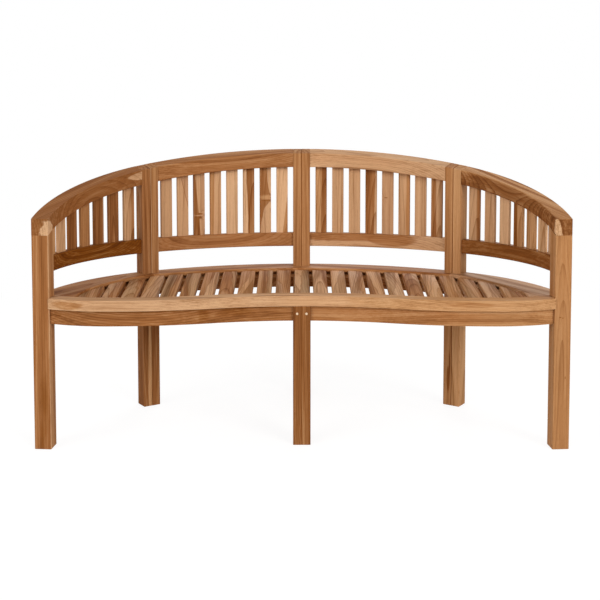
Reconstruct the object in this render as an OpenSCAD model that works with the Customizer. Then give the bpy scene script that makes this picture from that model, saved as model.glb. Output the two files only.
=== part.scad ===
// Banana bench in teak: a curved three-seat garden bench on three front legs and three rear posts.
// The plan is a basket arch: one wide arc across the back, tangent to a tighter arc down each arm.
// The top rails lie in one sloping plane that falls from the back to the ends of the arms.
// Millimetres. Z is up, the front faces -Y, and the origin is on the floor under the middle of the bench.

/* [Plan] */
// Distance between the centres of the two outer front legs
leg_span = 1545; // [1440:5:1640]
// Distance from the front legs' centre line back to the centre of the rear centre post
arch_rise = 583; // [560:1:600]
// Radius of the back's centre line between the two outer rear posts
back_r = 948; // [930:2:980]
// Bearing of the outer rear posts, seen from the centre of the back's arc
post_bearing = 33.6; // [32:0.2:34.4]

/* [Heights] */
// Height of the rims' top face
seat_h = 457; // [430:1:480]
// Height of the arms' top face over the centre of the front legs
arm_h = 700; // [680:1:720]
// Height of the top rail at the rear face of the centre post
back_h = 870; // [840:1:900]
// Height of the lower back rails' underside
lower_rail_z = 526; // [500:1:540]

/* [Legs and posts] */
// Width and depth of the outer front legs
leg_w = 51; // [46:1:56]
// Width of the front centre leg
centre_leg_w = 53; // [48:1:60]
// Width of a rear post, glued up from two boards
post_w = 60; // [54:1:66]
// Radius that softens the upright edges
arris = 3; // [1:0.5:4]
// Bevel that eases the glue line of a post made of two boards
glue_arris = 1.2; // [0.5:0.1:2]

/* [Rails] */
// Width of the top rails, and depth of the posts that they run flush with
rail_w = 51; // [46:1:54]
// Board thickness of the top rails
rail_t = 47; // [42:1:52]
// Height of the lower back rails
lower_rail_h = 47; // [40:1:52]
// Thickness of the lower back rails
lower_rail_t = 32; // [26:1:38]
// Height of the aprons
apron_h = 46; // [40:1:60]
// Thickness of the aprons
apron_t = 22; // [20:1:28]
// Width of the bearer under the centre slat
bearer_w = 44; // [36:1:46]

/* [Seat rims] */
// Width of the curved front rim
front_rim_w = 52; // [46:1:58]
// Width of the back rims at the centre post
back_rim_w = 102; // [96:1:108]
// Width of the back and side rims where they meet at a rear side post
post_rim_w = 74; // [70:1:78]
// Width of a side rim beside the front leg
side_rim_w = 122; // [116:1:128]
// Radius of the side rims' inner edge
side_edge_r = 490; // [470:5:510]
// Thickness of all rims
rim_t = 32; // [28:1:38]
// Radius that softens the rims' long edges
rim_round = 4; // [2:0.5:5]
// How far the middle of the front rim stands behind the front legs' centre line
rim_middle_y = 11; // [0:1:20]
// How far the two fullest places of the front rim stand before that line
rim_bulge_y = 67; // [60:1:74]
// Distance of each of those places from the middle of the bench
rim_bulge_x = 575; // [560:1:590]
// Radius of the hollow arc in the middle of the front rim
rim_hollow_r = 1000; // [900:10:1100]
// Radius of the tight arc that turns the front rim in to the leg
rim_end_r = 450; // [430:5:480]
// How far the front rim laps over the face of the outer leg
rim_lap = 3; // [1:0.5:5]
// How far the front aprons stand behind the edge of the rim
apron_setback = 12; // [8:1:16]
// How far the front centre leg stands behind the edge of the rim
centre_leg_setback = 2; // [0:0.5:6]

/* [Slats] */
// Thickness of the seat slats
seat_slat_t = 20; // [18:1:22]
// How far the seat slats lie below the rims' top face
seat_slat_drop = 6; // [4:0.5:7]
// Width of the outermost seat slats at the front, where the side rims meet the front rim
outer_slat_w = 62; // [54:1:68]
// Gap between seat slats
seat_gap = 13.5; // [10:0.5:18]
// Distance in front of the legs at which the fanned seat slats' centre lines would meet
fan_r = 7500; // [6000:100:12000]
// Width of a back slat
back_slat_w = 40; // [34:1:46]
// Thickness of a back slat
back_slat_t = 12; // [10:1:16]
// Radius that softens the upright edges of a back slat
back_slat_round = 2; // [1:0.5:4]

/* [Joints] */
// Length of a rail tenon
tenon_l = 22; // [16:1:23]
// Thickness of a rail tenon
tenon_t = 12; // [8:1:14]
// Depth of a rail tenon's shoulder above and below it
shoulder = 8; // [6:1:10]
// Length of the rail tenons in the outer front legs
leg_joint_l = 18; // [12:1:18]
// Length of the bearer's two tenons
bearer_tenon_l = 16; // [12:1:16]
// Width of the bearer's tenons
bearer_tenon_w = 14; // [10:1:18]
// Side of the square tenon on the top of an outer front leg
leg_tenon_w = 26; // [20:1:30]
// Height of the tenon on the top of an outer front leg
leg_tenon_h = 24; // [16:1:28]
// Width of the tenon on the top of the front centre leg
centre_tenon_w = 30; // [24:1:36]
// Thickness of the tenon on the top of the front centre leg
centre_tenon_t = 18; // [14:1:20]
// Height of the tenon on the top of the front centre leg
centre_tenon_h = 18; // [12:1:22]
// Width of a back slat's tenon
slat_tenon_w = 26; // [20:1:30]
// Thickness of a back slat's tenon
slat_tenon_t = 8; // [6:1:9]
// Length of a back slat's tenon
slat_tenon_l = 12; // [8:1:16]
// Thickness of the tongue on a seat slat's end
tongue_t = 9; // [7:0.5:10]
// Length of the tongue on a seat slat's end
tongue_l = 11; // [8:1:14]
// Diameter of the pegs in the front centre leg
peg_d = 8; // [6:0.5:10]
// Length of those pegs
peg_l = 34; // [28:1:40]
// Distance of each peg from the middle of the leg
peg_x = 14; // [11:0.5:17]
// Clearance of a joint on each side
fit = 0.3; // [0.2:0.05:0.4]
// Room left past the end of a tenon
end_room = 1; // [0.5:0.1:1.5]

/* [Hidden] */
$fn = 360;

// Slats in one back panel, slats in one arm panel, and seat slats on each side of the centre one
back_slat_n = 8;
arm_slat_n = 7;
seat_slat_n = 11;

// Reach that is larger than the bench, for cutting planes
far = 3000;
// Overlap that ties two solids of one piece together
tie = 6;
// Depth at which straight edges run inside the arcs that cover them
inset = 10;
// Facets of small round edges, and of the pegs
fine = 24;
peg_fine = 48;
// How far bent members run on past a leg or a post before they are cut off, in degrees
run_on = 5;
// Width of the board that a side or back rim is sawn from
rim_stock_w = 170;

// Unit vector at a bearing, taken from +Y towards +X
function bear(b) = [sin(b), cos(b)];

// Basket arch: the wide arc's centre, the rear post, and the arm's arc from that post to the leg
leg_x = leg_span/2;
back_c = [0, arch_rise - back_r];
post_at = back_c + back_r*bear(post_bearing);
leg_at = [leg_x, 0];
arm_r = -norm(leg_at - post_at)^2/(2*((leg_at - post_at)*bear(post_bearing)));
arm_c = post_at - arm_r*bear(post_bearing);
leg_bearing = atan2(leg_x - arm_c[0], -arm_c[1]);
leg_turn = 90 - leg_bearing;

// Front rim: a hollow middle arc that turns into a full arc and then a tight one at each side
rim_fall = rim_middle_y + rim_bulge_y;
rim_full_r = (rim_bulge_x^2 + rim_fall^2)/(2*rim_fall) - rim_hollow_r;
rim_turn = asin(rim_bulge_x/(rim_hollow_r + rim_full_r));
hollow_c = [0, rim_middle_y - rim_hollow_r];
full_c = [rim_bulge_x, rim_full_r - rim_bulge_y];
end_c = [rim_bulge_x, rim_end_r - rim_bulge_y];
// Sweep of the tight arcs, which the legs cut off
end_sweep = 45;
// Hair that two arcs lose where they meet, so that they cross instead of only touching,
// and how far that cut reaches to each side
hair = 0.02;
easing = 30;

// Levels
rim_z = seat_h - rim_t;
apron_z = rim_z - apron_h;
slat_z = seat_h - seat_slat_drop - seat_slat_t;
tongue_z = slat_z + (seat_slat_t - tongue_t)/2;
lower_rail_top = lower_rail_z + lower_rail_h;

// Sloping plane of the top rails
back_face_y = arch_rise + rail_w/2;
slope = (back_h - arm_h)/back_face_y;
slope_a = atan(slope);
rail_rise = rail_t/cos(slope_a);
function top_z(y) = arm_h + slope*y;

// Centre of the arc of radius r that turns right from p to q
function arc_centre(p, q, r) = let (h = (q - p)/2)
  p + h + [h[1], -h[0]]*sqrt(r^2 - h*h)/norm(h);

// Inner edges of the rims: a back arc and two side arcs, which meet at the rear side posts
edge_at = arm_c + (arm_r + rail_w/2 - post_rim_w)*bear(post_bearing);
edge_foot = arm_c + [arm_r + rail_w/2 - side_rim_w, 0];
side_edge_c = arc_centre(edge_at, edge_foot, side_edge_r);
edge_fall = back_face_y - back_rim_w - edge_at[1];
back_edge_r = (edge_at[0]^2 + edge_fall^2)/(2*edge_fall);
back_edge_c = [0, edge_at[1] + edge_fall - back_edge_r];

// Distance between the fanned seat slats' centre lines: the inner ones share what the outermost leave
seat_pitch = (edge_foot[0] - seat_gap/2 - outer_slat_w)/(seat_slat_n - 0.5);
function pitch_at(y) = seat_pitch*(1 + y/fan_r);

// Front centre leg
centre_leg_y = rim_middle_y + centre_leg_setback + leg_w/2;
apron_mid = apron_setback + apron_t/2;

// Shift that puts the origin under the middle of the bench
mid_y = (back_face_y - rim_bulge_y)/2;

leg_tone = [0.66, 0.44, 0.26];
post_tone = [0.62, 0.40, 0.24];
rail_tone = [0.64, 0.41, 0.23];
lower_tone = [0.56, 0.34, 0.18];
slat_tone = [0.78, 0.56, 0.36];
rim_tone = [0.76, 0.55, 0.36];
apron_tone = [0.56, 0.35, 0.21];
seat_tone = [0.66, 0.49, 0.34];
peg_tone = [0.90, 0.80, 0.64];

module on_bench() {
  translate([0, -mid_y, 0]) children();
}

// Mirrors a right-hand piece to the left
module hand(left) {
  mirror([left ? 1 : 0, 0, 0]) children();
}

module at_leg() {
  translate([leg_x, 0, 0]) rotate([0, 0, leg_turn]) children();
}

module at_post() {
  translate([post_at[0], post_at[1], 0]) rotate([0, 0, -post_bearing]) children();
}

module at_centre_post() {
  translate([0, arch_rise, 0]) children();
}

module at_centre_leg() {
  translate([0, centre_leg_y, 0]) children();
}

// Rectangle with round corners, centred on the origin
module round_rect(w, d, r) {
  square([w - 2*r, d], center = true);
  square([w, d - 2*r], center = true);
  for (x = [r - w/2, w/2 - r], y = [r - d/2, d/2 - r])
    translate([x, y]) circle(r, $fn = fine);
}

module stick(w, d, h, r) {
  linear_extrude(h) round_rect(w, d, r);
}

// One of the two boards that a post is glued up from
module glued_board(left, w, d, h) {
  linear_extrude(h) difference() {
    intersection() {
      round_rect(w, d, arris);
      hand(left) translate([0, -d]) square([w, 2*d]);
    }
    for (y = [-d/2, d/2])
      translate([0, y]) rotate(45) square(glue_arris*sqrt(2), center = true);
  }
}

// Section of a board whose near edge is on the Y axis
module board(w, h, r) {
  translate([w/2, h/2]) round_rect(w, h, r);
}

// Bends a section round a centre, between two bearings
module bend(c, b0, b1) {
  translate([c[0], c[1], 0]) rotate([0, 0, 90 - b1]) rotate_extrude(angle = b1 - b0) children();
}

// Everything below the sloping plane, lowered by a distance measured upright
module below_slope(drop) {
  translate([0, 0, arm_h - drop]) rotate([slope_a, 0, 0])
    translate([-far/2, -far/2, -far]) cube([far, far, far]);
}

// Tenon that points along +X from its shoulder at the origin, and the mortise for it
module tenon(l, t, h) {
  translate([-tie, -t/2, -h/2]) cube([l + tie, t, h]);
}

module mortise(l, t, h) {
  translate([-tie, -t/2 - fit, -h/2 - fit]) cube([l + tie + end_room, t + 2*fit, h + 2*fit]);
}

// Heights at which the rails' tenons are centred
apron_mid_z = apron_z + apron_h/2;
lower_mid_z = lower_rail_z + lower_rail_h/2;
apron_tenon_h = apron_h - 2*shoulder;
lower_tenon_h = lower_rail_h - 2*shoulder;
top_tenon_h = rail_t - 2*shoulder;
post_side_rise = post_w/2*sin(post_bearing);
arm_mid_z = top_z(post_at[1] - post_side_rise) - rail_rise/2;
back_mid_z = top_z(post_at[1] + post_side_rise) - rail_rise/2;
centre_mid_z = top_z(arch_rise) - rail_rise/2;

// Where the middle of a front apron meets the face of the outer leg, in the leg's own frame
apron_leg_y = end_c[1] + leg_w/2*sin(leg_turn)
  - sqrt((rim_end_r - apron_mid)^2 - (leg_x - leg_w/2*cos(leg_turn) - end_c[0])^2);

// Legs

module front_leg(left) {
  color(leg_tone) on_bench() hand(left) {
    difference() {
      union() {
        intersection() {
          at_leg() stick(leg_w, leg_w, arm_h, arris);
          below_slope(rail_rise);
        }
        at_leg() translate([-leg_tenon_w/2, -leg_tenon_w/2, lower_rail_z])
          cube([leg_tenon_w, leg_tenon_w, arm_h - rail_rise + leg_tenon_h - lower_rail_z]);
      }
      at_leg() {
        translate([-leg_w/2, apron_leg_y, apron_mid_z])
          mortise(leg_joint_l, tenon_t, apron_tenon_h);
        for (z = [[apron_mid_z, apron_tenon_h], [lower_mid_z, lower_tenon_h]])
          translate([0, leg_w/2, z[0]]) rotate([0, 0, -90]) mortise(leg_joint_l, tenon_t, z[1]);
      }
    }
  }
}

module centre_leg_board(left) {
  color(leg_tone) on_bench() difference() {
    union() {
      at_centre_leg() glued_board(left, centre_leg_w, leg_w, rim_z);
      intersection() {
        centre_leg_tenon(0);
        hand(left) translate([0, -far/2, 0]) cube([far, far, far]);
      }
    }
    hand(left) translate([centre_leg_w/2, rim_middle_y + apron_mid, apron_mid_z])
      rotate([0, 0, 180]) mortise(tenon_l, tenon_t, apron_tenon_h);
    at_centre_leg() translate([0, leg_w/2, apron_mid_z])
      rotate([0, 0, -90]) mortise(bearer_tenon_l, bearer_tenon_w, apron_tenon_h);
    peg_holes();
  }
}

// Tenon that holds the middle of the front rim, grown by a clearance for its mortise
module centre_leg_tenon(c) {
  y0 = rim_middle_y + (front_rim_w - tongue_l - centre_tenon_t)/2;
  top_room = c > 0 ? end_room : 0;
  translate([-centre_tenon_w/2 - c, y0 - c, rim_z - tie])
    cube([centre_tenon_w + 2*c, centre_tenon_t + 2*c, centre_tenon_h + tie + top_room]);
}

module peg_holes() {
  for (x = [-peg_x, peg_x])
    translate([x, centre_leg_y - leg_w/2 - tie, apron_mid_z])
      rotate([-90, 0, 0]) cylinder(d = peg_d + fit, h = peg_l + tie + end_room, $fn = peg_fine);
}

module tenon_pegs() {
  color(peg_tone) on_bench() for (x = [-peg_x, peg_x])
    translate([x, centre_leg_y - leg_w/2, apron_mid_z])
      rotate([-90, 0, 0]) cylinder(d = peg_d, h = peg_l, $fn = peg_fine);
}

// Rear posts

module centre_post_board(left) {
  color(post_tone) on_bench() difference() {
    intersection() {
      at_centre_post() glued_board(left, post_w, rail_w, back_h);
      below_slope(0);
    }
    at_centre_post() {
      hand(left) {
        translate([post_w/2, 0, apron_mid_z])
          rotate([0, 0, 180]) mortise(tenon_l, tenon_t, apron_tenon_h);
        translate([post_w/2, 0, lower_mid_z])
          rotate([0, 0, 180]) mortise(tenon_l, tenon_t, lower_tenon_h);
        translate([post_w/2, 0, centre_mid_z])
          rotate([0, 0, 180]) mortise(tenon_l, tenon_t, top_tenon_h);
      }
      translate([0, -rail_w/2, apron_mid_z])
        rotate([0, 0, 90]) mortise(bearer_tenon_l, bearer_tenon_w, apron_tenon_h);
    }
  }
}

// Board of an outer rear post: the inner one takes the back's rails, the outer one the arm's
module side_post_board(left, inner) {
  color(post_tone) on_bench() hand(left) difference() {
    intersection() {
      at_post() glued_board(inner, post_w, rail_w, back_h);
      below_slope(0);
    }
    at_post() hand(!inner) {
      translate([-post_w/2, 0, apron_mid_z]) mortise(tenon_l, tenon_t, apron_tenon_h);
      translate([-post_w/2, 0, lower_mid_z]) mortise(tenon_l, tenon_t, lower_tenon_h);
      translate([-post_w/2, 0, inner ? back_mid_z : arm_mid_z])
        mortise(tenon_l, tenon_t, top_tenon_h);
    }
  }
}

// Curved members of the arm and the back

// Keeps what lies between the side post and the front leg
module arm_bay(front) {
  intersection() {
    children();
    at_post() translate([post_w/2, -far/2, 0]) cube([far, far, far]);
    at_leg() translate([-far/2, front, 0]) cube([far, far, far]);
  }
}

// Keeps what lies between the centre post and the side post
module back_bay() {
  intersection() {
    children();
    translate([post_w/2, -far/2, 0]) cube([far, far, far]);
    at_post() translate([-post_w/2 - far, -far/2, 0]) cube([far, far, far]);
  }
}

// Member of the arm's arc, from the post's middle to past the leg
module arm_arc() {
  bend(arm_c, post_bearing, leg_bearing + run_on) children();
}

module back_arc() {
  bend(back_c, 0, post_bearing) children();
}

// Tenons at both ends of an arm member that stops at the leg's rear face
module arm_tenons(z, h) {
  at_post() translate([post_w/2, 0, z]) rotate([0, 0, 180]) tenon(tenon_l, tenon_t, h);
  at_leg() translate([0, leg_w/2, z]) rotate([0, 0, -90]) tenon(leg_joint_l, tenon_t, h);
}

module back_tenons(z_post, z_centre, h) {
  at_post() translate([-post_w/2, 0, z_post]) tenon(tenon_l, tenon_t, h);
  at_centre_post() translate([post_w/2, 0, z_centre]) rotate([0, 0, 180]) tenon(tenon_l, tenon_t, h);
}

// Bearing of slat i in a bay, from the centre of its arc
function arm_slat_b(i) = let (
  b0 = post_bearing + asin(post_w/2/arm_r),
  b1 = leg_bearing - asin(leg_w/2/arm_r)
) b0 + (b1 - b0)*slat_share(i, arm_slat_n, arm_r*(b1 - b0)*PI/180);

function back_slat_b(i) = let (
  b0 = asin(post_w/2/back_r),
  b1 = post_bearing - asin(post_w/2/back_r)
) b0 + (b1 - b0)*slat_share(i, back_slat_n, back_r*(b1 - b0)*PI/180);

// Share of a bay's length at which the middle of slat i of n stands, with equal gaps
function slat_share(i, n, length) = let (gap = (length - n*back_slat_w)/(n + 1))
  (gap*(i + 1) + back_slat_w*(i + 0.5))/length;

// Places children at a bearing on an arc, with +Y pointing out
module on_arc(c, r, b) {
  translate([c[0] + r*sin(b), c[1] + r*cos(b), 0]) rotate([0, 0, -b]) children();
}

module slat(c, r, b) {
  top = top_z(c[1] + r*cos(b)) - rail_rise;
  intersection() {
    on_arc(c, r, b) translate([0, 0, lower_rail_top])
      stick(back_slat_w, back_slat_t, back_h - lower_rail_top, back_slat_round);
    below_slope(rail_rise + fit);
  }
  on_arc(c, r, b) translate([-slat_tenon_w/2, -slat_tenon_t/2, lower_rail_top - slat_tenon_l])
    cube([slat_tenon_w, slat_tenon_t, top + slat_tenon_l - (lower_rail_top - slat_tenon_l)]);
}

module slat_mortises(c, r, b) {
  top = top_z(c[1] + r*cos(b)) - rail_rise;
  for (z = [lower_rail_top - slat_tenon_l - end_room, top - tie])
    on_arc(c, r, b) translate([-slat_tenon_w/2 - fit, -slat_tenon_t/2 - fit, z])
      cube([slat_tenon_w + 2*fit, slat_tenon_t + 2*fit, slat_tenon_l + tie + end_room]);
}

module arm_rail(left) {
  color(rail_tone) on_bench() hand(left) difference() {
    union() {
      arm_bay(-leg_w/2) intersection() {
        arm_arc() translate([arm_r - rail_w/2, 0]) square([rail_w, back_h]);
        below_slope(0);
        on_slope();
      }
      at_post() translate([post_w/2, 0, arm_mid_z])
        rotate([0, 0, 180]) tenon(tenon_l, tenon_t, top_tenon_h);
    }
    for (i = [0 : arm_slat_n - 1]) slat_mortises(arm_c, arm_r, arm_slat_b(i));
    at_leg() translate([-leg_tenon_w/2 - fit, -leg_tenon_w/2 - fit, lower_rail_z])
      cube([leg_tenon_w + 2*fit, leg_tenon_w + 2*fit,
            arm_h - rail_rise + leg_tenon_h + end_room - lower_rail_z]);
  }
}

// Everything above the underside of the top rails
module on_slope() {
  translate([0, 0, arm_h - rail_rise]) rotate([slope_a, 0, 0])
    translate([-far/2, -far/2, 0]) cube([far, far, far]);
}

module back_top_rail(left) {
  color(rail_tone) on_bench() hand(left) difference() {
    union() {
      back_bay() intersection() {
        back_arc() translate([back_r - rail_w/2, 0]) square([rail_w, back_h]);
        below_slope(0);
        on_slope();
      }
      back_tenons(back_mid_z, centre_mid_z, top_tenon_h);
    }
    for (i = [0 : back_slat_n - 1]) slat_mortises(back_c, back_r, back_slat_b(i));
  }
}

module arm_lower_rail(left) {
  color(lower_tone) on_bench() hand(left) difference() {
    union() {
      arm_bay(leg_w/2) arm_arc()
        translate([arm_r - lower_rail_t/2, lower_rail_z]) board(lower_rail_t, lower_rail_h, arris);
      arm_tenons(lower_mid_z, lower_tenon_h);
    }
    for (i = [0 : arm_slat_n - 1]) slat_mortises(arm_c, arm_r, arm_slat_b(i));
  }
}

module back_lower_rail(left) {
  color(lower_tone) on_bench() hand(left) difference() {
    union() {
      back_bay() back_arc()
        translate([back_r - lower_rail_t/2, lower_rail_z]) board(lower_rail_t, lower_rail_h, arris);
      back_tenons(lower_mid_z, lower_mid_z, lower_tenon_h);
    }
    for (i = [0 : back_slat_n - 1]) slat_mortises(back_c, back_r, back_slat_b(i));
  }
}

module arm_slats(left) {
  color(slat_tone) on_bench() hand(left)
    for (i = [0 : arm_slat_n - 1]) slat(arm_c, arm_r, arm_slat_b(i));
}

module back_slats(left) {
  color(slat_tone) on_bench() hand(left)
    for (i = [0 : back_slat_n - 1]) slat(back_c, back_r, back_slat_b(i));
}

module side_apron(left) {
  color(apron_tone) on_bench() hand(left) {
    arm_bay(leg_w/2) arm_arc()
      translate([arm_r - apron_t/2, apron_z]) board(apron_t, apron_h, arris);
    arm_tenons(apron_mid_z, apron_tenon_h);
  }
}

module rear_apron(left) {
  color(apron_tone) on_bench() hand(left) {
    back_bay() back_arc()
      translate([back_r - apron_t/2, apron_z]) board(apron_t, apron_h, arris);
    back_tenons(apron_mid_z, apron_mid_z, apron_tenon_h);
  }
}

// Front rim and front aprons: one wavy line of tangent arcs

// Slice of a disc between two bearings
module pie(c, r, b0, b1) {
  intersection() {
    translate(c) circle(r);
    polygon([c, c + 2*r*bear(b0), c + 2*r*bear(b1)]);
  }
}

// Takes a hair off the outside of two arcs where they meet, at a point and its outward bearing
module eased(at, b) {
  difference() {
    children();
    translate(at) rotate(-b) translate([-easing, -hair]) square([2*easing, inset]);
  }
}

// Plan of everything behind the front rim's edge, moved back by a distance
module behind_wave(o) {
  right = [
    hollow_c + (rim_hollow_r + o - inset)*bear(rim_turn),
    hollow_c + (rim_hollow_r + o + inset)*bear(rim_turn),
    [rim_bulge_x, o + inset - rim_bulge_y],
    end_c + (rim_end_r - o - inset)*bear(180 - end_sweep),
    [far, rim_end_r - rim_bulge_y],
    [far, far]
  ];
  difference() {
    union() {
      polygon([each right, for (i = [len(right) - 1 : -1 : 0]) [-right[i][0], right[i][1]]]);
      for (left = [true, false]) hand(left) eased([rim_bulge_x, o - rim_bulge_y], 180) {
        pie(full_c, rim_full_r - o + hair, 180, 180 + 2*rim_turn);
        pie(end_c, rim_end_r - o, 180 - end_sweep, 180 + rim_turn);
      }
    }
    translate(hollow_c) circle(rim_hollow_r + o);
  }
}

// Wavy bar of a height whose plan lies between two distances behind the rim's edge
module wave_bar(o0, o1, z, h) {
  translate([0, 0, z]) linear_extrude(h) difference() {
    behind_wave(o0);
    behind_wave(o1);
  }
}

// Everything on the inner side of the right-hand leg's inner face, and a lap past it
module inside_leg(lap) {
  at_leg() translate([-far - leg_w/2 + lap, -far/2, 0]) cube([far, far, far]);
}

// Keeps what lies between the two outer front legs, with a lap over their inner faces
module between_legs(lap) {
  intersection() {
    children();
    hand(false) inside_leg(lap);
    hand(true) inside_leg(lap);
  }
}

module seat_front_rim() {
  color(rim_tone) on_bench() difference() {
    between_legs(rim_lap) wave_bar(0, front_rim_w, rim_z, rim_t);
    wave_bar(front_rim_w - tongue_l - end_room, front_rim_w + tie, tongue_z - fit, tongue_t + 2*fit);
    for (left = [true, false]) hand(left) at_leg()
      translate([-leg_w/2, -leg_w/2, 0]) cube([far, far, far]);
    centre_leg_tenon(fit);
  }
}

module front_apron(left) {
  color(apron_tone) on_bench() hand(left) difference() {
    union() {
      intersection() {
        between_legs(0) wave_bar(apron_setback, apron_setback + apron_t, apron_z, apron_h);
        translate([centre_leg_w/2, -far/2, 0]) cube([far, far, far]);
      }
      translate([centre_leg_w/2, rim_middle_y + apron_mid, apron_mid_z])
        rotate([0, 0, 180]) tenon(tenon_l, tenon_t, apron_tenon_h);
      at_leg() translate([-leg_w/2, apron_leg_y, apron_mid_z])
        tenon(leg_joint_l, tenon_t, apron_tenon_h);
    }
    peg_holes();
  }
}

// Side and back rims

// Section of a wide board whose outer edge lies at a radius
module outer_section(r) {
  translate([r - rim_stock_w, rim_z]) board(rim_stock_w, rim_t, rim_round);
}

// Wide ring round a centre, with the groove for the seat slats in its inner edge
module grooved_ring(c, r) {
  bend(c, -run_on, 90 + run_on) translate([r, rim_z]) difference() {
    board(rim_stock_w, rim_t, rim_round);
    translate([-rim_round, tongue_z - rim_z - fit])
      square([tongue_l + end_room + rim_round, tongue_t + 2*fit]);
  }
}

module side_rim(left) {
  color(rim_tone) on_bench() hand(left) difference() {
    union() {
      intersection() {
        arm_arc() outer_section(arm_r + rail_w/2);
        grooved_ring(side_edge_c, side_edge_r);
        translate([0, 0, rim_z - tie]) linear_extrude(rim_t + 2*tie) behind_wave(front_rim_w + fit);
      }
      translate([0, 0, tongue_z]) linear_extrude(tongue_t) intersection() {
        difference() {
          translate(arm_c) circle(arm_r - leg_w/2 - tie);
          translate(side_edge_c) circle(side_edge_r + tongue_l + tie);
        }
        difference() {
          behind_wave(front_rim_w - tongue_l);
          behind_wave(front_rim_w + tie);
        }
        translate([rim_bulge_x, -far]) square(2*far);
      }
    }
    at_leg() translate([-leg_w/2 - fit, leg_w/2 + fit - far, 0]) cube([far, far, far]);
    post_notch();
  }
}

// Room for the side post in the rims
module post_notch() {
  at_post() translate([-post_w/2 - fit, -rail_w/2 - fit, 0]) cube([post_w + 2*fit, far, far]);
}

module back_rim(left) {
  color(rim_tone) on_bench() hand(left) difference() {
    intersection() {
      back_arc() outer_section(back_r + rail_w/2);
      grooved_ring(back_edge_c, back_edge_r);
    }
    post_notch();
    at_centre_post() translate([-post_w/2 - fit, -rail_w/2 - fit, 0]) cube([post_w + 2*fit, far, far]);
  }
}

// Bearer under the centre slat, notched where it passes under the rims

module seat_centre_bearer() {
  y0 = centre_leg_y + leg_w/2;
  y1 = arch_rise - rail_w/2;
  front_y = rim_middle_y + front_rim_w + fit;
  back_y = back_face_y - back_rim_w - fit;
  color(apron_tone) on_bench() {
    difference() {
      translate([-bearer_w/2, y0, apron_z]) cube([bearer_w, y1 - y0, slat_z - apron_z]);
      translate([-far/2, front_y - far, rim_z]) cube([far, far, rim_t]);
      translate([-far/2, back_y, rim_z]) cube([far, far, rim_t]);
    }
    translate([0, y0, apron_mid_z]) rotate([0, 0, -90])
      tenon(bearer_tenon_l, bearer_tenon_w, apron_tenon_h);
    translate([0, y1, apron_mid_z]) rotate([0, 0, 90])
      tenon(bearer_tenon_l, bearer_tenon_w, apron_tenon_h);
  }
}

// Seat slats

// Plan of the seat's opening inside the rims, drawn in by a distance
module seat_opening(o) {
  x = (side_edge_c[0] + edge_at[0])/2;
  intersection() {
    translate(back_edge_c) circle(back_edge_r - o);
    union() {
      translate([-x, -far/2]) square([2*x, far]);
      for (left = [true, false]) hand(left) translate(side_edge_c) circle(side_edge_r - o);
    }
    behind_wave(front_rim_w + o);
  }
}

// Strip of slat k, fanned from the front to the back; the outermost ones fill the corners
module slat_strip(k) {
  n = abs(k);
  y0 = -rim_bulge_y;
  y1 = back_face_y;
  h0 = (pitch_at(y0) - seat_gap)/2;
  h1 = (pitch_at(y1) - seat_gap)/2;
  x0 = n*pitch_at(y0);
  x1 = n*pitch_at(y1);
  past = n == seat_slat_n ? seat_pitch : 0;
  hand(k < 0) polygon([[x0 - h0, y0], [x0 + h0 + past, y0], [x1 + h1 + past, y1], [x1 - h1, y1]]);
}

module seat_slat(k) {
  color(seat_tone) on_bench() {
    translate([0, 0, slat_z]) linear_extrude(seat_slat_t) intersection() {
      slat_strip(k);
      seat_opening(fit);
    }
    translate([0, 0, tongue_z]) linear_extrude(tongue_t) intersection() {
      slat_strip(k);
      seat_opening(-tongue_l);
    }
  }
}

front_leg(true);  // front_leg_left
front_leg(false);  // front_leg_right
centre_leg_board(true);  // front_leg_centre_board_left
centre_leg_board(false);  // front_leg_centre_board_right
side_post_board(true, false);  // rear_post_left_board_outer
side_post_board(true, true);  // rear_post_left_board_inner
centre_post_board(true);  // rear_post_centre_board_left
centre_post_board(false);  // rear_post_centre_board_right
side_post_board(false, true);  // rear_post_right_board_inner
side_post_board(false, false);  // rear_post_right_board_outer
arm_rail(true);  // arm_rail_left
arm_rail(false);  // arm_rail_right
back_top_rail(true);  // back_top_rail_left
back_top_rail(false);  // back_top_rail_right
arm_lower_rail(true);  // arm_lower_rail_left
arm_lower_rail(false);  // arm_lower_rail_right
back_lower_rail(true);  // back_lower_rail_left
back_lower_rail(false);  // back_lower_rail_right
arm_slats(true);  // arm_slats_left
arm_slats(false);  // arm_slats_right
back_slats(true);  // back_slats_left
back_slats(false);  // back_slats_right
front_apron(true);  // front_apron_left
front_apron(false);  // front_apron_right
side_apron(true);  // side_apron_left
side_apron(false);  // side_apron_right
rear_apron(true);  // rear_apron_left
rear_apron(false);  // rear_apron_right
seat_front_rim();
side_rim(true);  // seat_side_rim_left
side_rim(false);  // seat_side_rim_right
back_rim(true);  // seat_back_rim_left
back_rim(false);  // seat_back_rim_right
seat_centre_bearer();
seat_slat(-11);  // seat_slat_left_11
seat_slat(-10);  // seat_slat_left_10
seat_slat(-9);  // seat_slat_left_09
seat_slat(-8);  // seat_slat_left_08
seat_slat(-7);  // seat_slat_left_07
seat_slat(-6);  // seat_slat_left_06
seat_slat(-5);  // seat_slat_left_05
seat_slat(-4);  // seat_slat_left_04
seat_slat(-3);  // seat_slat_left_03
seat_slat(-2);  // seat_slat_left_02
seat_slat(-1);  // seat_slat_left_01
seat_slat(0);  // seat_slat_centre
seat_slat(1);  // seat_slat_right_01
seat_slat(2);  // seat_slat_right_02
seat_slat(3);  // seat_slat_right_03
seat_slat(4);  // seat_slat_right_04
seat_slat(5);  // seat_slat_right_05
seat_slat(6);  // seat_slat_right_06
seat_slat(7);  // seat_slat_right_07
seat_slat(8);  // seat_slat_right_08
seat_slat(9);  // seat_slat_right_09
seat_slat(10);  // seat_slat_right_10
seat_slat(11);  // seat_slat_right_11
tenon_pegs();
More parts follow.
